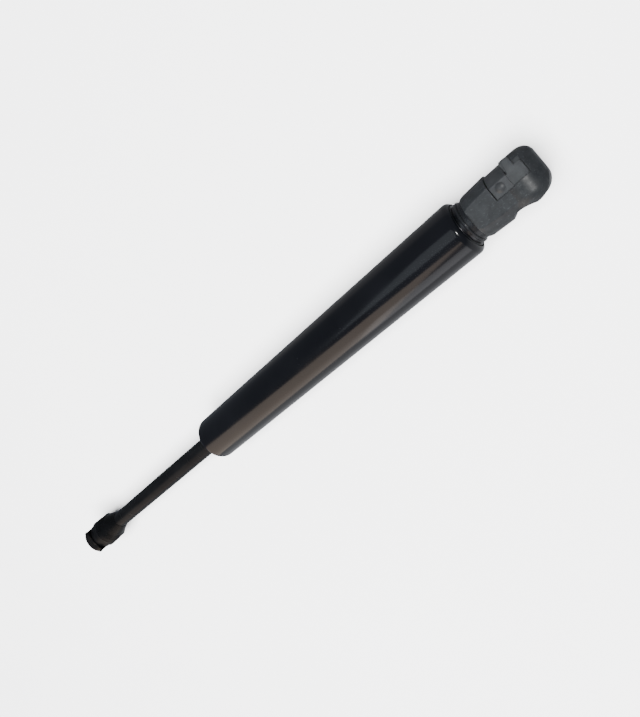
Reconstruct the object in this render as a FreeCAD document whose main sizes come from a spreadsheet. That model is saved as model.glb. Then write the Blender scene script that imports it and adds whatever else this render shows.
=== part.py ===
import math
import os

import FreeCAD
import Part
import Sketcher

# Gas strut stay with a ball socket at each end, drawn fully extended.
# Frame: origin at the centre of the ball seat on the cylinder side, +X along the strut
# towards the rod, +Y out of that seat's mouth, +Z up. Lengths are millimetres.

DIMENSIONS = {
    # strut as a whole
    "pin_centres": 272.0,
    # pressure tube
    "tube_outer": 19.0,
    "tube_bore": 16.6,
    "tube_head_face": 20.2,
    "tube_rod_face": 161.8,
    "head_roll": 2.1,
    "head_roll_lip": 8.15,
    "rod_roll": 2.0,
    # closed end: plug, stud and washer
    "plug_length": 8.5,
    "plug_boss": 15.6,
    "plug_boss_front": 20.1,
    "plug_boss_edge": 0.3,
    "plug_neck": 14.2,
    "plug_cup": 9.0,
    "plug_cup_depth": 4.0,
    "stud": 8.0,
    "stud_end": 9.6,
    "stud_chamfer": 0.6,
    "collar_length": 2.6,
    "collar_outer": 14.0,
    "collar_bore": 8.2,
    "collar_flange": 14.9,
    "collar_flange_length": 1.0,
    "collar_edge": 0.35,
    # O-rings and their grooves
    "cord": 1.66,
    "groove_depth": 1.7,
    "groove_width": 2.2,
    "plug_groove_start": 26.2,
    "guide_groove_start": 152.2,
    # rod guide pack
    "guide_start": 149.0,
    "guide_nose": 161.4,
    "guide_nose_outer": 14.7,
    "guide_clearance": 9.0,
    "bush_start": 150.2,
    "bush_length": 7.6,
    "bush_outer": 9.8,
    "wiper_seat_start": 158.7,
    "wiper_seat": 12.0,
    "wiper_lip": 1.1,
    "seal_start": 144.6,
    "seal_waist": 1.2,
    "washer_thickness": 1.2,
    "washer_bore": 8.8,
    "stop_length": 6.0,
    "stop_bore": 11.0,
    # rod and running fits
    "rod_outer": 8.0,
    "bush_gap": 0.04,
    "seal_gap": 0.03,
    "wiper_gap": 0.05,
    "rod_stud": 6.0,
    "rod_stud_length": 11.5,
    "rod_pin": 5.0,
    "rivet_head": 7.2,
    "rivet_thickness": 1.2,
    # piston pack
    "stop_gap": 0.2,
    "support_outer": 14.4,
    "piston_outer": 16.0,
    "piston_length": 6.5,
    "ring_groove": 13.0,
    "ring_groove_width": 2.5,
    "ring_groove_start": 2.0,
    "ring_inner": 13.8,
    "ring_gap": 0.04,
    "ring_side_gap": 0.1,
    "ring_split": 1.0,
    "flow_hole": 1.2,
    "flow_circle": 9.6,
    "flow_holes": 6.0,
    "disc_thickness": 0.6,
    "disc_outer": 13.0,
    "retainer_outer": 12.0,
    # ball sockets
    "ball": 10.0,
    "seat_gap": 0.05,
    "housing_radius": 7.4,
    "housing_back": 7.8,
    "housing_mouth": 7.95,
    "mouth_dome": 0.35,
    "mouth_round": 4.0,
    "back_round": 3.75,
    "front_round": 6.5,
    "neck_radius": 8.0,
    "neck_shoulder": 7.6,
    "flat_half": 6.6,
    "scoop_start": 8.4,
    "scoop_floor_start": 7.0,
    "scoop_floor": 6.9,
    "scoop_end": -0.4,
    "scoop_round": 12.5,
    "head_base": 16.7,
    "head_base_radius": 7.3,
    "head_chamfer_start": 15.6,
    "head_chamfer_radius": 7.65,
    "rod_base": 20.5,
    "rod_base_radius": 4.15,
    "rod_cone_end": 13.0,
    "rod_cone_radius": 6.2,
    "rod_step_end": 10.0,
    "rod_step_radius": 7.5,
    "rod_flat_half": 6.95,
    "neck_edge": 0.35,
    "recess_edge": 0.2,
    "cut_reach": 24.0,
    "cut_side": 16.0,
    "cut_over": 1.0,
    # spring clips
    "sheet": 0.6,
    "sheet_edge": 0.12,
    "clip_gap": 0.15,
    "clip_half": 6.5,
    "clip_back": 7.5,
    "clip_start": 1.5,
    "clip_width": 5.9,
    "clip_side_gap": 0.2,
    "clip_end": 0.3,
    "clip_end_gap": 0.1,
    "clip_travel": 1.0,
    "leg_drop": 0.25,
    "leg_tip": -4.0,
    "leg_low": 0.0,
    "leg_high": -4.5,
    "ear_side": -1.85,
    "ear_root": 0.95,
    "ear_narrow": 0.9,
    "ear_top": -7.6,
    "leg_corner": 0.9,
    "dimple_across": 3.1,
    "dimple_height": 0.5,
    "dimple_along": 4.65,
    "dimple_up": -2.0,
}

doc = FreeCAD.newDocument("gas_strut_stay")
dims = doc.addObject("Spreadsheet::Sheet", "dims")
for row, (alias, size) in enumerate(DIMENSIONS.items(), start=1):
    dims.set("A%d" % row, alias)
    dims.set("B%d" % row, str(size))
    dims.setAlias("B%d" % row, alias)
doc.recompute()

TINY = 1e-4
WALL = "( tube_outer - tube_bore ) / 2"
ALONG_X = FreeCAD.Rotation(FreeCAD.Vector(0, 0, 1), FreeCAD.Vector(1, 0, 0))


def size(formula):
    """Value of a formula over the sheet's aliases, in millimetres."""
    return float(dims.evalExpression(named(formula)))


def named(formula):
    """The same formula with each alias written as a cell of the sheet."""
    words = formula.replace("(", "( ").replace(")", " )").split()
    return " ".join("dims." + word if word in DIMENSIONS else word for word in words)


def new_body(label):
    body = doc.addObject("PartDesign::Body", label)
    body.Label = label
    return body


def new_sketch(body, plane, lift):
    """Empty sketch on an origin plane of its body, raised by the formula lift."""
    sketch = body.newObject("Sketcher::SketchObject", "outline")
    support = [item for item in body.Origin.OriginFeatures if item.Role == plane]
    sketch.AttachmentSupport = [(support[0], "")]
    sketch.MapMode = "FlatFace"
    sketch.setExpression("AttachmentOffset.Base.z", named(lift))
    return sketch


def drive(sketch, name, constraint, formula):
    """Add a constraint and bind its value to the sheet."""
    index = sketch.addConstraint(constraint)
    sketch.renameConstraint(index, name)
    sketch.setExpression("Constraints." + name, named(formula))


def arc_between(start, end, radius, turn):
    """Shorter arc from start to end; turn is +1 counter-clockwise, -1 clockwise."""
    chord = end - start
    left = FreeCAD.Vector(-chord.y, chord.x, 0).normalize()
    rise = math.sqrt(max(radius ** 2 - (chord.Length / 2) ** 2, 0.0))
    centre = (start + end) * 0.5 + left * (rise * turn)
    first, last = (start, end) if turn > 0 else (end, start)
    angles = [math.atan2(p.y - centre.y, p.x - centre.x) for p in (first, last)]
    if angles[1] < angles[0]:
        angles[1] += 2 * math.pi
    circle = Part.Circle(centre, FreeCAD.Vector(0, 0, 1), radius)
    return Part.ArcOfCircle(circle, *angles)


def outline(body, plane, corners, arcs=None, lift="0"):
    """Closed outline through corners, each a pair of formulas.

    arcs says which sides are round: side number to (radius formula, turn).
    """
    arcs = arcs or {}
    sketch = new_sketch(body, plane, lift)
    points = [FreeCAD.Vector(size(u), size(v), 0) for u, v in corners]
    starts, ends = [], []
    for side, point in enumerate(points):
        following = points[(side + 1) % len(points)]
        starts.append(1)
        ends.append(2)
        if side in arcs:
            radius, turn = arcs[side]
            sketch.addGeometry(arc_between(point, following, size(radius), turn))
            if turn < 0:
                starts[-1], ends[-1] = 2, 1
            drive(sketch, "round_%d" % side,
                  Sketcher.Constraint("Radius", side, size(radius)), radius)
        else:
            sketch.addGeometry(Part.LineSegment(point, following))
    for side, (u, v) in enumerate(corners):
        before = side - 1 if side else len(corners) - 1
        sketch.addConstraint(
            Sketcher.Constraint("Coincident", before, ends[before], side, starts[side]))
        drive(sketch, "across_%d" % side,
              Sketcher.Constraint("DistanceX", -1, 1, side, starts[side], size(u)), u)
        drive(sketch, "up_%d" % side,
              Sketcher.Constraint("DistanceY", -1, 1, side, starts[side], size(v)), v)
    return sketch


def round_hole(body, plane, centre, radius, lift):
    """Sketch of one circle."""
    sketch = new_sketch(body, plane, lift)
    place = FreeCAD.Vector(size(centre[0]), size(centre[1]), 0)
    sketch.addGeometry(Part.Circle(place, FreeCAD.Vector(0, 0, 1), size(radius)))
    drive(sketch, "radius", Sketcher.Constraint("Radius", 0, size(radius)), radius)
    for name, kind, formula in (("across", "DistanceX", centre[0]), ("up", "DistanceY", centre[1])):
        drive(sketch, name, Sketcher.Constraint(kind, -1, 1, 0, 3, size(formula)), formula)
    return sketch


def turn(body, sketch, axis="H_Axis", kind="PartDesign::Revolution"):
    """Turn a sketch right round its own horizontal or vertical axis."""
    feature = body.newObject(kind, "turned")
    feature.Profile = sketch
    feature.ReferenceAxis = (sketch, [axis])
    feature.Angle = 360
    return checked(body, feature)


def extrude(body, sketch, length, kind="PartDesign::Pad", backward=False, both=False):
    """Pad or pocket a sketch; backward flips its side and both centres it."""
    feature = body.newObject(kind, "extruded")
    feature.Profile = sketch
    feature.setExpression("Length", named(length))
    if both:
        feature.SideType = "Symmetric"
    feature.Reversed = backward
    return checked(body, feature)


def checked(body, feature):
    """Recompute, and make sure that the feature added or removed material."""
    base = feature.BaseFeature
    doc.recompute()
    if base is not None:
        change = feature.Shape.Volume - base.Shape.Volume
        cuts = feature.TypeId in ("PartDesign::Pocket", "PartDesign::Groove")
        if abs(change) < 1e-3 or (change > 0) == cuts:
            raise ValueError("%s: %s changed nothing" % (body.Label, feature.Name))
    return feature


def soften(body, radius, chosen):
    """Round the edges that chosen picks by their bounding boxes."""
    sharp = body.Tip
    names = ["Edge%d" % number for number, edge in enumerate(sharp.Shape.Edges, start=1)
             if chosen(edge.BoundBox)]
    feature = body.newObject("PartDesign::Fillet", "rounding")
    feature.Base = (sharp, names)
    feature.setExpression("Radius", named(radius))
    doc.recompute()
    if not feature.isValid():
        raise ValueError("%s: %s failed" % (body.Label, feature.Name))
    return feature


def turned_piece(label, corners, arcs=None):
    """Piece turned about the strut's axis; corners are (along, radius)."""
    body = new_body(label)
    turn(body, outline(body, "XY_Plane", corners, arcs))
    return body


def flat_ring(label, start, thickness, outer, bore):
    """Plain ring about the strut's axis; outer and bore are diameters."""
    solids = []
    for name, across in (("disc", outer), ("hole", bore)):
        solid = doc.addObject("Part::Cylinder", label + "_" + name)
        solid.setExpression("Radius", named("( %s ) / 2" % across))
        solid.setExpression("Height", named(thickness))
        solids.append(solid)
    ring = doc.addObject("Part::Cut", label)
    ring.Base, ring.Tool = solids
    return place_on_axis(ring, label, start)


def cord_ring(label, groove_start):
    """O-ring lying in a groove that opens to the tube's bore."""
    ring = doc.addObject("Part::Torus", label)
    ring.setExpression("Radius1", named("tube_bore / 2 - groove_depth / 2"))
    ring.setExpression("Radius2", named("cord / 2"))
    return place_on_axis(ring, label, groove_start + " + groove_width / 2")


def place_on_axis(piece, label, start):
    """Stand a piece made along Z on the strut's axis instead."""
    piece.Label = label
    piece.Placement = FreeCAD.Placement(FreeCAD.Vector(), ALONG_X)
    piece.setExpression("Placement.Base.x", named(start))
    doc.recompute()
    return piece


def roll_reach(radius, level):
    """Distance along the strut that the closed end's roll of this radius spans at a level."""
    rise = "%s - tube_outer / 2 + head_roll" % level
    return "sqrt( ( %s ) ^ 2 - ( %s ) ^ 2 )" % (radius, rise)


def pressure_tube():
    """Tube rolled in at both ends."""
    head, rod = "tube_head_face + head_roll", "tube_rod_face - rod_roll"
    rod_lip = "tube_outer / 2 - rod_roll"
    inner_roll = "head_roll - " + WALL
    return turned_piece("pressure_tube", [
        (head, "tube_outer / 2"),
        (head + " - " + roll_reach("head_roll", "head_roll_lip"), "head_roll_lip"),
        (head + " - " + roll_reach(inner_roll, "head_roll_lip"), "head_roll_lip"),
        (head, "tube_bore / 2"),
        (rod, "tube_bore / 2"),
        ("tube_rod_face - " + WALL, rod_lip),
        ("tube_rod_face", rod_lip),
        (rod, "tube_outer / 2"),
    ], {0: ("head_roll", 1), 2: (inner_roll, -1), 4: ("rod_roll - " + WALL, -1),
        6: ("rod_roll", 1)})


def end_plug():
    """Closed end's plug with its threaded stud."""
    body_start = "tube_head_face + head_roll"
    roll = roll_reach("head_roll - " + WALL, "plug_boss / 2")
    washer = "head_base + collar_length"
    groove_end = "plug_groove_start + groove_width"
    groove = "tube_bore / 2 - groove_depth"
    back = body_start + " + plug_length"
    return turned_piece("end_plug", [
        ("stud_end", "0"),
        ("stud_end", "stud / 2 - stud_chamfer"),
        ("stud_end + stud_chamfer", "stud / 2"),
        (washer, "stud / 2"),
        (washer, "plug_neck / 2"),
        ("plug_boss_front", "plug_neck / 2"),
        ("plug_boss_front", "plug_boss / 2 - plug_boss_edge"),
        ("plug_boss_front + plug_boss_edge", "plug_boss / 2"),
        (body_start + " - " + roll, "plug_boss / 2"),
        (body_start, "tube_bore / 2"),
        ("plug_groove_start", "tube_bore / 2"),
        ("plug_groove_start", groove),
        (groove_end, groove),
        (groove_end, "tube_bore / 2"),
        (back, "tube_bore / 2"),
        (back, "plug_cup / 2"),
        (back + " - plug_cup_depth", "plug_cup / 2"),
        (back + " - plug_cup_depth", "0"),
    ], {6: ("plug_boss_edge", -1)})


def stud_washer():
    """Flanged collar between the socket and the closed end."""
    end = "head_base + collar_length"
    flange = end + " - collar_flange_length"
    rim = "collar_flange / 2"
    return turned_piece("stud_washer", [
        ("head_base", "collar_bore / 2"),
        ("head_base", "collar_outer / 2"),
        (flange, "collar_outer / 2"),
        (flange, rim + " - collar_edge"),
        (flange + " + collar_edge", rim),
        (end + " - collar_edge", rim),
        (end, rim + " - collar_edge"),
        (end, "collar_bore / 2"),
    ], {3: ("collar_edge", -1), 5: ("collar_edge", -1)})


def rod_guide():
    """Guide that fills the rod end of the tube and holds the bush and the wiper."""
    groove = "tube_bore / 2 - groove_depth"
    groove_end = "guide_groove_start + groove_width"
    bush_end = "bush_start + bush_length"
    return turned_piece("rod_guide", [
        ("guide_start", "guide_clearance / 2"),
        ("guide_start", "tube_bore / 2"),
        ("guide_groove_start", "tube_bore / 2"),
        ("guide_groove_start", groove),
        (groove_end, groove),
        (groove_end, "tube_bore / 2"),
        ("tube_rod_face - rod_roll", "tube_bore / 2"),
        ("tube_rod_face - " + WALL, "guide_nose_outer / 2"),
        ("guide_nose", "guide_nose_outer / 2"),
        ("guide_nose", "wiper_seat / 2"),
        ("wiper_seat_start", "wiper_seat / 2"),
        ("wiper_seat_start", "guide_clearance / 2"),
        (bush_end, "guide_clearance / 2"),
        (bush_end, "bush_outer / 2"),
        ("bush_start", "bush_outer / 2"),
        ("bush_start", "guide_clearance / 2"),
    ])


def wiper_ring():
    """Scraper with a thin lip that leans out along the rod."""
    lip = "rod_outer / 2 + wiper_gap"
    return turned_piece("wiper_ring", [
        ("wiper_seat_start", lip + " + wiper_lip / 2"),
        ("wiper_seat_start", "wiper_seat / 2"),
        ("guide_nose", "wiper_seat / 2"),
        ("guide_nose", lip + " + wiper_lip"),
        ("guide_nose + wiper_lip", lip + " + wiper_lip / 4"),
        ("guide_nose + wiper_lip", lip),
        ("guide_nose", lip),
    ])


def rod_seal():
    """Lip seal: two lips on the pressure side, joined by a web."""
    lip = "rod_outer / 2 + seal_gap"
    web = "guide_start - seal_waist"
    middle = "( rod_outer + tube_bore ) / 4"
    return turned_piece("rod_seal", [
        ("seal_start", lip),
        ("seal_start", middle + " - seal_waist / 2"),
        (web, middle),
        ("seal_start", middle + " + seal_waist / 2"),
        ("seal_start", "tube_bore / 2"),
        ("guide_start", "tube_bore / 2"),
        ("guide_start", lip),
    ])


def piston_rod():
    """Rod with the piston's riveted pin at one end and a threaded stud at the other."""
    stop = "seal_start - washer_thickness - stop_length"
    pin_start = stop + " - stop_gap"
    rivet = ("seal_start - 3 * washer_thickness - stop_length - stop_gap"
             " - piston_length - disc_thickness")
    rod_end = "pin_centres - rod_base"
    return turned_piece("piston_rod", [
        (rivet + " - rivet_thickness", "0"),
        (rivet + " - rivet_thickness", "rod_pin / 2"),
        (rivet, "rivet_head / 2"),
        (rivet, "rod_pin / 2"),
        (pin_start, "rod_pin / 2"),
        (pin_start, "rod_outer / 2"),
        (rod_end, "rod_outer / 2"),
        (rod_end, "rod_stud / 2"),
        (rod_end + " + rod_stud_length", "rod_stud / 2"),
        (rod_end + " + rod_stud_length", "0"),
    ])


def piston(start):
    """Piston with a ring groove and a circle of flow holes."""
    groove_start = start + " + ring_groove_start"
    groove_end = groove_start + " + ring_groove_width"
    end = start + " + piston_length"
    body = turned_piece("piston", [
        (start, "rod_pin / 2"),
        (start, "piston_outer / 2"),
        (groove_start, "piston_outer / 2"),
        (groove_start, "ring_groove / 2"),
        (groove_end, "ring_groove / 2"),
        (groove_end, "piston_outer / 2"),
        (end, "piston_outer / 2"),
        (end, "rod_pin / 2"),
    ])
    hole = round_hole(body, "YZ_Plane", ("flow_circle / 2", "0"), "flow_hole / 2", start)
    pocket = extrude(body, hole, "piston_length", "PartDesign::Pocket", backward=True)
    pattern = body.newObject("PartDesign::PolarPattern", "flow_circle")
    pattern.Originals = [pocket]
    spindle = [item for item in body.Origin.OriginFeatures if item.Role == "X_Axis"]
    pattern.Axis = (spindle[0], [""])
    pattern.Angle = 360
    pattern.setExpression("Occurrences", named("flow_holes"))
    body.Tip = pattern
    doc.recompute()
    return body


def piston_ring(start):
    """Split ring that slides on the tube's bore."""
    ring_start = start + " + ring_groove_start + ring_side_gap"
    ring_end = start + " + ring_groove_start + ring_groove_width - ring_side_gap"
    body = turned_piece("piston_ring", [
        (ring_start, "ring_inner / 2"),
        (ring_start, "tube_bore / 2 - ring_gap"),
        (ring_end, "tube_bore / 2 - ring_gap"),
        (ring_end, "ring_inner / 2"),
    ])
    split = outline(body, "YZ_Plane", [
        ("- ring_split / 2", "0"),
        ("ring_split / 2", "0"),
        ("ring_split / 2", "tube_bore"),
        ("- ring_split / 2", "tube_bore"),
    ], lift=start)
    extrude(body, split, "piston_length", "PartDesign::Pocket", backward=True)
    return body


def ball_socket(label, neck, flat_half, bore, bore_end):
    """Moulded end fitting: neck along +X, ball seat at the origin, mouth towards +Y.

    neck lists (along, radius) from the base to the shoulder. The thread's bore is plain.
    """
    body = new_body(label)
    turn(body, outline(body, "XY_Plane", [
        ("0", "0"),
        (neck[0][0], "0"),
        *neck,
        ("neck_shoulder", "neck_radius"),
        ("0", "neck_radius"),
    ]))
    for side in ("", "- "):
        flat = outline(body, "XZ_Plane", [
            ("- neck_radius", side + flat_half),
            (neck[0][0], side + flat_half),
            (neck[0][0], side + "cut_side"),
            ("- neck_radius", side + "cut_side"),
        ])
        extrude(body, flat, "cut_reach", "PartDesign::Pocket", both=True)
    shoulder, base = size("neck_shoulder"), size(neck[0][0])
    soften(body, "neck_edge", lambda box: box.XMin < base - TINY
           and abs(box.Center.x - shoulder) > TINY and max(-box.ZMin, box.ZMax) > TINY)
    turn(body, outline(body, "XY_Plane", [
        ("0", "- housing_back"),
        ("housing_radius - back_round", "- housing_back"),
        ("housing_radius", "back_round - housing_back"),
        ("housing_radius", "housing_mouth + mouth_dome - mouth_round"),
        ("housing_radius - mouth_round", "housing_mouth + mouth_dome"),
        ("0", "housing_mouth + mouth_dome"),
    ], {1: ("back_round", 1), 3: ("mouth_round", 1)}), "V_Axis")
    round_front(body)
    scoop(body)
    turn(body, outline(body, "XY_Plane", [
        ("0", "- ball / 2 - seat_gap"),
        ("ball / 2 + seat_gap", "0"),
        ("ball / 2 + seat_gap", "cut_side"),
        ("0", "cut_side"),
    ], {0: ("ball / 2 + seat_gap", 1)}), "V_Axis", "PartDesign::Groove")
    clip_recess(body)
    hole = round_hole(body, "YZ_Plane", ("0", "0"), bore + " / 2", bore_end)
    extrude(body, hole, neck[0][0] + " + cut_over - ( " + bore_end + " )", "PartDesign::Pocket",
            backward=True)
    return body


def round_front(body):
    """Round the corner between the mouth and the tip."""
    reach = "- cut_side"
    corner = outline(body, "XY_Plane", [
        ("front_round - housing_radius", "housing_mouth"),
        ("- housing_radius", "housing_mouth - front_round"),
        (reach, "housing_mouth - front_round"),
        (reach, "cut_side"),
        ("front_round - housing_radius", "cut_side"),
    ], {0: ("front_round", 1)})
    extrude(body, corner, "cut_reach", "PartDesign::Pocket", both=True)


def scoop(body):
    """Hollow on the mouth side between the neck and the ball housing."""
    hollow = outline(body, "XY_Plane", [
        ("scoop_start", "housing_mouth"),
        ("scoop_floor_start", "scoop_floor"),
        ("scoop_end", "housing_mouth"),
        ("scoop_end", "cut_side"),
        ("scoop_start", "cut_side"),
    ], {1: ("scoop_round", -1)})
    extrude(body, hollow, "cut_reach", "PartDesign::Pocket", both=True)


def clip_recess(body):
    """Recess round the back for the spring clip, with room for the clip to lift."""
    floor = "clip_half - sheet - clip_gap"
    back = "clip_back - sheet - clip_gap"
    start = "clip_start - clip_side_gap"
    end = "clip_end + clip_end_gap"
    flank = "- sqrt( ( %s ) ^ 2 - ( %s ) ^ 2 )" % (back, floor)
    far = "cut_side"
    ring = outline(body, "YZ_Plane", [
        (end, far),
        ("- " + far, far),
        ("- " + far, "- " + far),
        (end, "- " + far),
        (end, "- ( %s )" % floor),
        (flank, "- ( %s )" % floor),
        (flank, floor),
        (end, floor),
    ], {5: (back, -1)}, lift=start)
    extrude(body, ring, "clip_width + 2 * clip_side_gap", "PartDesign::Pocket", backward=True)
    root = "clip_start + sheet + clip_gap"
    tip = "leg_tip - clip_gap"
    side = "ear_side - clip_gap"
    lift_room = "leg_high - clip_travel - clip_gap"
    for sign, backward in (("", True), ("- ", False)):
        channel = outline(body, "XY_Plane", [
            (root, "leg_low + clip_gap"),
            (tip, "leg_low + clip_gap"),
            (tip, lift_room),
            (side, lift_room),
            (side, "- cut_side"),
            (root, "- cut_side"),
        ], lift=sign + "( %s - leg_drop )" % floor)
        extrude(body, channel, "neck_radius", "PartDesign::Pocket", backward=backward)
    step = size(start + " + clip_width + 2 * clip_side_gap")
    soften(body, "recess_edge", lambda box: box.XLength < TINY
           and abs(box.XMin - step) < TINY and box.YMin < 0
           and max(-box.ZMin, box.ZMax) > size("clip_half"))


def spring_clip(label):
    """Bent sheet clip: band round the back, a leg over each side of the ball, two ears."""
    body = new_body(label)
    inside, inner_back = "clip_half - sheet", "clip_back - sheet"
    flank_out = "- sqrt( clip_back ^ 2 - clip_half ^ 2 )"
    flank_in = "- sqrt( ( %s ) ^ 2 - ( %s ) ^ 2 )" % (inner_back, inside)
    band = outline(body, "YZ_Plane", [
        ("clip_end", "clip_half"),
        (flank_out, "clip_half"),
        (flank_out, "- clip_half"),
        ("clip_end", "- clip_half"),
        ("clip_end", "- ( %s )" % inside),
        (flank_in, "- ( %s )" % inside),
        (flank_in, inside),
        ("clip_end", inside),
    ], {1: ("clip_back", 1), 5: (inner_back, -1)}, lift="clip_start")
    extrude(body, band, "clip_width")
    soften(body, "sheet_edge", lambda box: box.ZLength < TINY
           and max(-box.ZMin, box.ZMax) > size("clip_half") - TINY)
    root = "clip_start + sheet"
    shoulder = "leg_high + leg_corner"
    for sign, backward in (("", False), ("- ", True)):
        leg = outline(body, "XY_Plane", [
            (root, "leg_low"),
            ("leg_tip + leg_corner", "leg_low"),
            ("leg_tip", "leg_low - leg_corner"),
            ("leg_tip", shoulder),
            ("leg_tip + leg_corner", "leg_high"),
            ("ear_side", "leg_high"),
            ("ear_side", "ear_top + leg_corner"),
            ("ear_side + leg_corner", "ear_top"),
            ("ear_root - ear_narrow", "ear_top"),
            ("ear_root", shoulder),
            (root, shoulder),
        ], {1: ("leg_corner", 1), 3: ("leg_corner", 1), 6: ("leg_corner", 1)},
            lift=sign + "( %s - leg_drop )" % inside)
        extrude(body, leg, "sheet", backward=backward)
    for sign, bend in (("", 1), ("- ", -1)):
        dimple(body, sign, bend)
    return body


def dimple(body, sign, bend):
    """Domed bump pressed out of one side of the clip."""
    sketch = outline(body, "XZ_Plane", [
        ("dimple_along", sign + "( clip_half - sheet / 2 )"),
        ("dimple_along + dimple_across / 2", sign + "( clip_half - sheet / 2 )"),
        ("dimple_along + dimple_across / 2", sign + "clip_half"),
        ("dimple_along", sign + "( clip_half + dimple_height )"),
    ], {2: ("( dimple_across ^ 2 / 4 + dimple_height ^ 2 ) / ( 2 * dimple_height )", bend)},
        lift="- dimple_up")
    feature = body.newObject("PartDesign::Revolution", "dimple")
    feature.Profile = sketch
    feature.ReferenceAxis = (sketch, ["Edge4"])
    feature.Angle = 360
    checked(body, feature)


def build():
    """Make every piece; the document's labels are the pieces' names."""
    stop_start = "seal_start - washer_thickness - stop_length"
    support_start = stop_start + " - stop_gap - washer_thickness"
    piston_start = support_start + " - piston_length"
    disc_start = piston_start + " - disc_thickness"
    pieces = [
        pressure_tube(),
        end_plug(),
        cord_ring("end_plug_seal", "plug_groove_start"),
        stud_washer(),
        rod_guide(),
        flat_ring("guide_bush", "bush_start", "bush_length", "bush_outer",
                  "rod_outer + 2 * bush_gap"),
        cord_ring("guide_seal", "guide_groove_start"),
        wiper_ring(),
        rod_seal(),
        flat_ring("seal_washer", "seal_start - washer_thickness", "washer_thickness",
                  "tube_bore", "washer_bore"),
        flat_ring("stop_sleeve", stop_start, "stop_length", "tube_bore", "stop_bore"),
        piston_rod(),
        flat_ring("support_washer", support_start, "washer_thickness", "support_outer",
                  "rod_pin"),
        piston(piston_start),
        piston_ring(piston_start),
        flat_ring("valve_disc", disc_start, "disc_thickness", "disc_outer", "rod_pin"),
        flat_ring("retaining_washer", disc_start + " - washer_thickness", "washer_thickness",
                  "retainer_outer", "rod_pin"),
        ball_socket("head_socket", [
            ("head_base", "head_base_radius"),
            ("head_chamfer_start", "head_chamfer_radius"),
        ], "flat_half", "stud", "stud_end - stud_chamfer"),
        spring_clip("head_clip"),
    ]
    rod_socket = ball_socket("rod_socket", [
        ("rod_base", "rod_base_radius"),
        ("rod_cone_end", "rod_cone_radius"),
        ("rod_step_end", "rod_step_radius"),
    ], "rod_flat_half", "rod_stud", "rod_base - rod_stud_length")
    facing = FreeCAD.Rotation(FreeCAD.Vector(-1, 0, 0), FreeCAD.Vector(0, 0, -1),
                              FreeCAD.Vector(0, -1, 0), "XYZ")
    for piece in (rod_socket, spring_clip("rod_clip")):
        piece.Placement = FreeCAD.Placement(FreeCAD.Vector(), facing)
        piece.setExpression("Placement.Base.x", named("pin_centres"))
        pieces.append(piece)
    doc.recompute()
    return pieces


def write(pieces):
    """Check the whole document, then write one STEP file for each piece."""
    for item in doc.Objects:
        if {"Invalid", "Error"} & set(item.State):
            raise ValueError("%s failed: %s" % (item.Label, item.State))
    for piece in pieces:
        if piece.Shape.isNull() or not piece.Shape.isValid():
            raise ValueError("%s has no valid shape" % piece.Label)
    os.makedirs("parts", exist_ok=True)
    for piece in pieces:
        piece.Shape.exportStep("parts/%s.step" % piece.Label)
        print("%-18s %9.2f mm3" % (piece.Label, piece.Shape.Volume))


write(build())
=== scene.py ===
import math

import bpy
from mathutils import Matrix, Vector


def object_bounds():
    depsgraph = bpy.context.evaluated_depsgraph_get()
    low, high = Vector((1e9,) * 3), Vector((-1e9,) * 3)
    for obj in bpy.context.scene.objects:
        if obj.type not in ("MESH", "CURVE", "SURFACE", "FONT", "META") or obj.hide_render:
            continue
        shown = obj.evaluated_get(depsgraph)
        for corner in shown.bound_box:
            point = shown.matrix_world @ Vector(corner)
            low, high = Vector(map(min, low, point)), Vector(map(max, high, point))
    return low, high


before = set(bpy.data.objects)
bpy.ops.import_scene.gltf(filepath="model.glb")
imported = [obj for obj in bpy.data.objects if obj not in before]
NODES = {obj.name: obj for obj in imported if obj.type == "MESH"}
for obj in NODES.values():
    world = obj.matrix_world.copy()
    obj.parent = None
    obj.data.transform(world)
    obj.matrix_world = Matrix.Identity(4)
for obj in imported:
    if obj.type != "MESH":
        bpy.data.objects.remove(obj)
cad_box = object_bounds()

MM = 0.001

# Camera: over the cylinder's head end, looking down and along the strut.
LOOK = Vector((0.5473, 0.0111, -0.8369))
RIGHT = Vector((-0.6419, 0.6473, -0.4112))
CAMERA_PLACE = Vector((-0.0298, 0.0, 0.1881))
LENS_MM = 30.13


def add_camera():
    """Camera at the photograph's viewing angle, with its depth of field off."""
    lens = bpy.data.cameras.new("camera")
    lens.lens = LENS_MM
    lens.clip_start = 0.005
    camera = bpy.data.objects.new("camera", lens)
    bpy.context.scene.collection.objects.link(camera)
    look = LOOK.normalized()
    right = (RIGHT - look * RIGHT.dot(look)).normalized()
    up = right.cross(look)
    turn = Matrix((right, up, -look)).transposed().to_4x4()
    camera.matrix_world = Matrix.Translation(CAMERA_PLACE) @ turn
    bpy.context.scene.camera = camera


def add_light(name, place, target, size, watts, color, floor, only=False, seen="both"):
    """Soft rectangular studio light.

    floor is left out of its light, or with only it is all that the light reaches. seen
    is "shine" for a light that only shows reflected and "fill" for one that never does.
    """
    lamp = bpy.data.lights.new(name, "AREA")
    lamp.shape = "RECTANGLE"
    lamp.size, lamp.size_y = size
    lamp.energy = watts
    lamp.color = color
    light = bpy.data.objects.new(name, lamp)
    bpy.context.scene.collection.objects.link(light)
    aim = Vector(target) - Vector(place)
    light.matrix_world = (Matrix.Translation(place)
                          @ aim.to_track_quat("-Z", "Y").to_matrix().to_4x4())
    light.visible_camera = False
    light.visible_diffuse = seen != "shine"
    light.visible_glossy = seen != "fill"
    reached = bpy.data.collections.new(name + "_reach")
    reached.objects.link(floor)
    state = "INCLUDE" if only else "EXCLUDE"
    reached.collection_objects[0].light_linking.link_state = state
    light.light_linking.receiver_collection = reached


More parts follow.
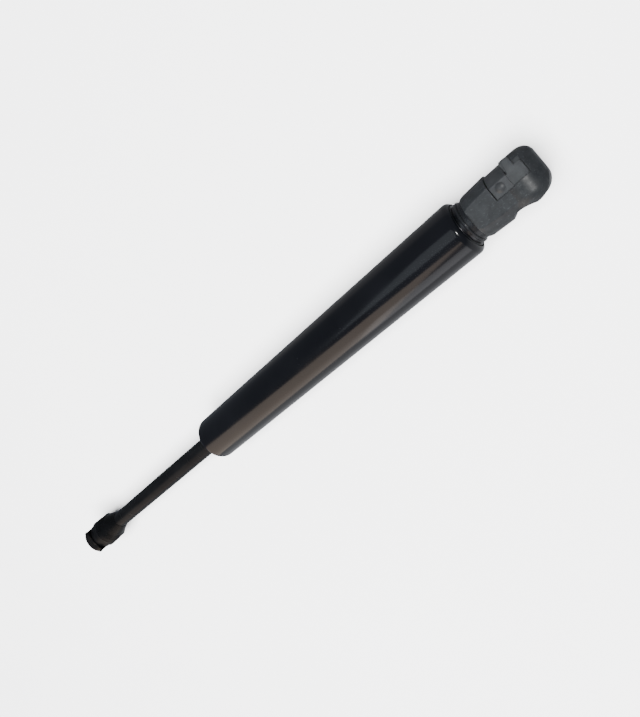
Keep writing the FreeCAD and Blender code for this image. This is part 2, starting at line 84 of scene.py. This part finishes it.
def add_lights(floor):
    add_light("near_spot", (-0.14, 0.0, 0.32), (0.0, 0.0, 0.0), (0.03, 0.03), 0.5,
              (1.0, 0.99, 0.97), floor)
    add_light("warm_wall", (1.00, 0.55, 0.55), (0.60, 0.0, 0.20), (1.3, 1.1), 7.0,
              (1.0, 0.80, 0.64), floor, seen="shine")
    add_light("pale_wall", (0.35, 1.00, 0.25), (0.05, 0.0, 0.0), (0.5, 0.6), 0.9,
              (0.97, 0.97, 1.0), floor, seen="shine")
    add_light("room_fill", (0.20, 0.06, 0.60), (0.0, 0.0, 0.0), (0.30, 0.30), 2.9,
              (0.90, 0.96, 1.0), floor, seen="fill")
    add_light("room_top", (0.20, -0.09, 0.70), (0.0, 0.0, 0.0), (0.40, 0.40), 0.34,
              (0.86, 0.94, 1.0), floor, seen="shine")
    add_light("floor_wash", (0.1, 0.25, 1.5), (0.1, 0.0, 0.0), (1.6, 1.6), 185.0,
              (1.0, 1.0, 1.0), floor, only=True)
    add_world()


# The surroundings' own colour, and a glow low down on either side: the direction that it
# comes from, and the (dot product with that direction, colour) pairs that it runs between.
WORLD_BASE = (0.15, 0.165, 0.195)
WORLD_GLOWS = (
    ((0.0, 0.8, -0.6), ((0.25, (0.0, 0.0, 0.0)), (0.62, (0.50, 0.50, 0.50)))),
    ((0.0, -0.8, -0.6), ((0.70, (0.0, 0.0, 0.0)), (0.82, (0.12, 0.11, 0.10)))),
)


def add_world():
    """Dim cool surroundings, paler low down on either side, as over a table top."""
    world = bpy.data.worlds.new("studio")
    bpy.context.scene.world = world
    world.use_nodes = True
    tree = world.node_tree
    sight = tree.nodes.new("ShaderNodeTexCoord").outputs["Generated"]
    glow = None
    for direction, stops in WORLD_GLOWS:
        along = tree.nodes.new("ShaderNodeVectorMath")
        along.operation = "DOT_PRODUCT"
        along.inputs[1].default_value = direction
        tree.links.new(sight, along.inputs[0])
        ramp = tree.nodes.new("ShaderNodeValToRGB")
        for element, (position, color) in zip(ramp.color_ramp.elements, stops):
            element.position = position
            element.color = (*color, 1.0)
        tree.links.new(along.outputs["Value"], ramp.inputs["Fac"])
        total = tree.nodes.new("ShaderNodeVectorMath")
        tree.links.new(ramp.outputs["Color"], total.inputs[0])
        if glow is None:
            total.inputs[1].default_value = WORLD_BASE
        else:
            tree.links.new(glow, total.inputs[1])
        glow = total.outputs["Vector"]
    tree.links.new(glow, tree.nodes["Background"].inputs["Color"])


class Shader:
    """Small helper that adds nodes to one material and links them."""

    def __init__(self, name, **numbers):
        self.material = bpy.data.materials.new(name)
        self.material.use_nodes = True
        self.tree = self.material.node_tree
        self.bsdf = self.tree.nodes["Principled BSDF"]
        for label, number in numbers.items():
            self.bsdf.inputs[label.replace("_", " ")].default_value = number
        self.place = self.add("ShaderNodeTexCoord").outputs["Object"]

    def add(self, kind, **settings):
        node = self.tree.nodes.new(kind)
        for label, setting in settings.items():
            setattr(node, label, setting)
        return node

    def link(self, source, target):
        self.tree.links.new(source, target)

    def noise(self, scale, detail=4.0, rough=0.55, stretch=None):
        """Noise over the object's own metres; stretch scales it along X, Y and Z."""
        node = self.add("ShaderNodeTexNoise")
        node.inputs["Scale"].default_value = scale
        node.inputs["Detail"].default_value = detail
        node.inputs["Roughness"].default_value = rough
        self.link(self.moved(stretch), node.inputs["Vector"])
        return node.outputs["Fac"]

    def cells(self, scale, stretch=None):
        """Distance from the nearest of many scattered points."""
        node = self.add("ShaderNodeTexVoronoi")
        node.inputs["Scale"].default_value = scale
        self.link(self.moved(stretch), node.inputs["Vector"])
        return node.outputs["Distance"]

    def moved(self, stretch):
        """The object's own coordinates, scaled along X, Y and Z when stretch is given."""
        if stretch is None:
            return self.place
        mapping = self.add("ShaderNodeMapping")
        mapping.inputs["Scale"].default_value = stretch
        self.link(self.place, mapping.inputs["Vector"])
        return mapping.outputs["Vector"]

    def ramp(self, source, stops):
        """Colour ramp; stops are (position, grey or colour)."""
        node = self.add("ShaderNodeValToRGB")
        ramp = node.color_ramp
        while len(ramp.elements) < len(stops):
            ramp.elements.new(0.5)
        for element, (position, value) in zip(ramp.elements, stops):
            element.position = position
            color = value if isinstance(value, tuple) else (value, value, value)
            element.color = (*color, 1.0)
        self.link(source, node.inputs["Fac"])
        return node.outputs["Color"]

    def mixed(self, factor, first, second, blend="MIX"):
        """Mix of two colours; each is a socket or a constant colour."""
        node = self.add("ShaderNodeMix", data_type="RGBA", blend_type=blend)
        for label, value in (("Factor", factor), ("A", first), ("B", second)):
            kind = "VALUE" if label == "Factor" else "RGBA"
            socket = [s for s in node.inputs if s.name == label and s.type == kind][0]
            if hasattr(value, "links"):
                self.link(value, socket)
            else:
                socket.default_value = value if kind == "VALUE" else (*value, 1.0)
        return [s for s in node.outputs if s.type == "RGBA"][0]

    def bump(self, height, strength, depth_mm, before=None):
        """Bump on the surface, on top of an earlier one when before is given."""
        node = self.add("ShaderNodeBump")
        node.inputs["Strength"].default_value = strength
        node.inputs["Distance"].default_value = depth_mm * MM
        self.link(height, node.inputs["Height"])
        if before is not None:
            self.link(before, node.inputs["Normal"])
        self.link(node.outputs["Normal"], self.bsdf.inputs["Normal"])
        return node.outputs["Normal"]

    def color(self, socket):
        self.link(socket, self.bsdf.inputs["Base Color"])

    def roughness(self, socket):
        self.link(socket, self.bsdf.inputs["Roughness"])


DUST_CELLS = 520.0  # per metre; the dust's colour and its bump share it


def gloss_paint():
    """Black paint on the tube: orange peel, faint handling scuffs and a little dust."""
    s = Shader("gloss_black_paint", Coat_Weight=0.2, Coat_Roughness=0.05,
               Specular_IOR_Level=0.45)
    tone = s.ramp(s.noise(60.0),
                  [(0.35, (0.0045, 0.0048, 0.0068)), (0.70, (0.008, 0.0084, 0.011))])
    dust = s.ramp(s.cells(DUST_CELLS), [(0.0, 1.0), (0.055, 0.0)])
    some = s.ramp(s.noise(170.0, 2.0), [(0.56, 0.0), (0.64, 1.0)])
    specks = s.mixed(1.0, dust, some, "MULTIPLY")
    s.color(s.mixed(specks, tone, (0.16, 0.16, 0.17)))
    s.roughness(s.ramp(s.noise(90.0, 6.0, stretch=(0.4, 2.2, 2.2)), [(0.35, 0.13), (0.75, 0.26)]))
    peel = s.bump(s.noise(900.0, 2.0), 0.25, 0.02)
    s.bump(s.cells(DUST_CELLS), 0.10, 0.02, peel)
    return s.material


def rod_finish():
    """Nitrided and polished rod: dark, with fine marks that run round it."""
    s = Shader("polished_dark_rod", Specular_IOR_Level=0.06)
    s.color(s.ramp(s.noise(70.0, 5.0, stretch=(1.0, 3.0, 3.0)),
                   [(0.3, (0.010, 0.010, 0.011)), (0.75, (0.020, 0.020, 0.021))]))
    s.roughness(s.ramp(s.noise(160.0, 4.0, stretch=(2.0, 0.6, 0.6)), [(0.3, 0.22), (0.8, 0.30)]))
    s.bump(s.noise(700.0, 3.0, stretch=(6.0, 0.3, 0.3)), 0.05, 0.01)
    return s.material


def moulded_plastic(name, dark, light, rough_low, rough_high, shine):
    """Glass-filled moulded plastic: speckle, slight mottling and a fine grain."""
    s = Shader(name, Specular_IOR_Level=shine)
    mottle = s.ramp(s.noise(260.0, 6.0, 0.65), [(0.30, dark), (0.72, light)])
    fibre = s.ramp(s.noise(2100.0, 3.0, 0.7, stretch=(0.7, 1.0, 1.0)),
                   [(0.58, 0.0), (0.70, 1.0)])
    pale = tuple(min(1.0, 1.9 * part + 0.02) for part in light)
    s.color(s.mixed(s.mixed(1.0, fibre, (0.6, 0.6, 0.6), "MULTIPLY"), mottle, pale))
    s.roughness(s.ramp(s.noise(420.0, 5.0), [(0.3, rough_low), (0.75, rough_high)]))
    grain = s.bump(s.noise(1500.0, 5.0, 0.7), 0.35, 0.03)
    s.bump(s.noise(240.0, 3.0), 0.25, 0.06, grain)
    return s.material


def dark_steel(name, dark, light, rough_low, rough_high, shine):
    """Phosphated or blackened steel, rubbed brighter on its high spots."""
    s = Shader(name, Metallic=0.3, Specular_IOR_Level=shine)
    s.color(s.ramp(s.noise(330.0, 6.0, 0.6), [(0.3, dark), (0.75, light)]))
    s.roughness(s.ramp(s.noise(500.0, 5.0), [(0.3, rough_low), (0.75, rough_high)]))
    s.bump(s.noise(1600.0, 4.0), 0.20, 0.015)
    return s.material


def plain_metal(name, dark, light, rough):
    """Turned metal of the inner parts, with tool marks that run round the axis."""
    s = Shader(name, Metallic=1.0)
    s.color(s.ramp(s.noise(210.0, 5.0), [(0.3, dark), (0.75, light)]))
    s.roughness(s.ramp(s.noise(300.0, 4.0), [(0.3, rough * 0.8), (0.8, rough * 1.3)]))
    s.bump(s.noise(900.0, 2.0, stretch=(8.0, 0.4, 0.4)), 0.2, 0.01)
    return s.material


def soft_polymer(name, dark, light, rough):
    """Rubber or unfilled plastic, matt with a faint bloom."""
    s = Shader(name)
    s.color(s.ramp(s.noise(240.0, 5.0), [(0.3, dark), (0.75, light)]))
    s.roughness(s.ramp(s.noise(380.0, 4.0), [(0.3, rough * 0.85), (0.8, min(1.0, rough * 1.2))]))
    s.bump(s.noise(1300.0, 4.0), 0.25, 0.02)
    return s.material


def dress(names, material):
    """Give CAD nodes a material of their own."""
    for name in names:
        node = NODES[name]
        node.data.materials.clear()
        node.data.materials.append(material)


# The floor: its gap under the part, then in metres its flat disc's radius, the radius of
# the bend at its edge and the height of the wall's top.
FLOOR_GAP_MM = 0.2
FLOOR_RADIUS = 1.4
BEND_RADIUS = 0.7
WALL_TOP = 3.0
FLOOR_SIDES = 96
BEND_STEPS = 16


def add_floor():
    """Plain pale floor just under the tube, rising to a wall far off on every side."""
    low = cad_box[0][2] - FLOOR_GAP_MM * MM
    profile = [(FLOOR_RADIUS, low)]
    for step in range(1, BEND_STEPS + 1):
        angle = math.radians(90.0 * step / BEND_STEPS)
        profile.append((FLOOR_RADIUS + BEND_RADIUS * math.sin(angle),
                        low + BEND_RADIUS * (1.0 - math.cos(angle))))
    profile.append((FLOOR_RADIUS + BEND_RADIUS, WALL_TOP))
    points = [(0.0, 0.0, low)]
    for radius, height in profile:
        for side in range(FLOOR_SIDES):
            angle = 2.0 * math.pi * side / FLOOR_SIDES
            points.append((radius * math.cos(angle), radius * math.sin(angle), height))
    faces = [(0, side + 1, (side + 1) % FLOOR_SIDES + 1) for side in range(FLOOR_SIDES)]
    for ring in range(len(profile) - 1):
        inner, outer = 1 + ring * FLOOR_SIDES, 1 + (ring + 1) * FLOOR_SIDES
        for side in range(FLOOR_SIDES):
            after = (side + 1) % FLOOR_SIDES
            faces.append((inner + side, outer + side, outer + after, inner + after))
    mesh = bpy.data.meshes.new("floor")
    mesh.from_pydata(points, [], faces)
    mesh.shade_smooth()
    floor = bpy.data.objects.new("floor", mesh)
    bpy.context.scene.collection.objects.link(floor)
    s = Shader("pale_floor")
    s.color(s.ramp(s.noise(6.0), [(0.3, (0.86, 0.86, 0.865)), (0.8, (0.90, 0.90, 0.90))]))
    s.roughness(s.ramp(s.noise(30.0), [(0.3, 0.7), (0.8, 0.85)]))
    mesh.materials.append(s.material)
    floor.visible_diffuse = False
    floor.visible_glossy = False
    return floor


add_camera()
add_lights(add_floor())

dress(["pressure_tube"], gloss_paint())
dress(["piston_rod"], rod_finish())
dress(["head_socket"], moulded_plastic("grey_glass_filled_plastic", (0.024, 0.026, 0.028),
                                       (0.052, 0.055, 0.057), 0.34, 0.52, 0.5))
dress(["rod_socket"], moulded_plastic("black_glass_filled_plastic", (0.005, 0.005, 0.0055),
                                      (0.010, 0.010, 0.011), 0.26, 0.40, 0.10))
dress(["head_clip"], dark_steel("spring_steel", (0.055, 0.057, 0.060), (0.095, 0.098, 0.10),
                                0.36, 0.52, 0.5))
dress(["rod_clip"], dark_steel("black_spring_steel", (0.010, 0.010, 0.011),
                               (0.018, 0.018, 0.019), 0.36, 0.52, 0.1))
dress(["end_plug"], plain_metal("dark_turned_steel", (0.05, 0.05, 0.052), (0.10, 0.10, 0.105),
                                0.30))
dress(["stud_washer"], dark_steel("black_oxide_steel", (0.020, 0.021, 0.023),
                                  (0.036, 0.037, 0.040), 0.22, 0.34, 0.5))
dress(["seal_washer", "support_washer", "valve_disc", "retaining_washer"],
      plain_metal("zinc_plated_steel", (0.50, 0.51, 0.53), (0.66, 0.67, 0.68), 0.32))
dress(["piston"], plain_metal("sintered_metal", (0.42, 0.42, 0.43), (0.60, 0.60, 0.61), 0.42))
dress(["guide_bush"], plain_metal("bronze", (0.45, 0.29, 0.15), (0.62, 0.42, 0.23), 0.34))
dress(["end_plug_seal", "guide_seal", "rod_seal", "wiper_ring"],
      soft_polymer("black_rubber", (0.008, 0.008, 0.009), (0.022, 0.022, 0.023), 0.62))
dress(["rod_guide", "stop_sleeve"],
      soft_polymer("black_guide_plastic", (0.016, 0.016, 0.018), (0.034, 0.034, 0.036), 0.48))
dress(["piston_ring"], soft_polymer("brown_ring_polymer", (0.26, 0.14, 0.07), (0.40, 0.24, 0.13),
                                    0.45))
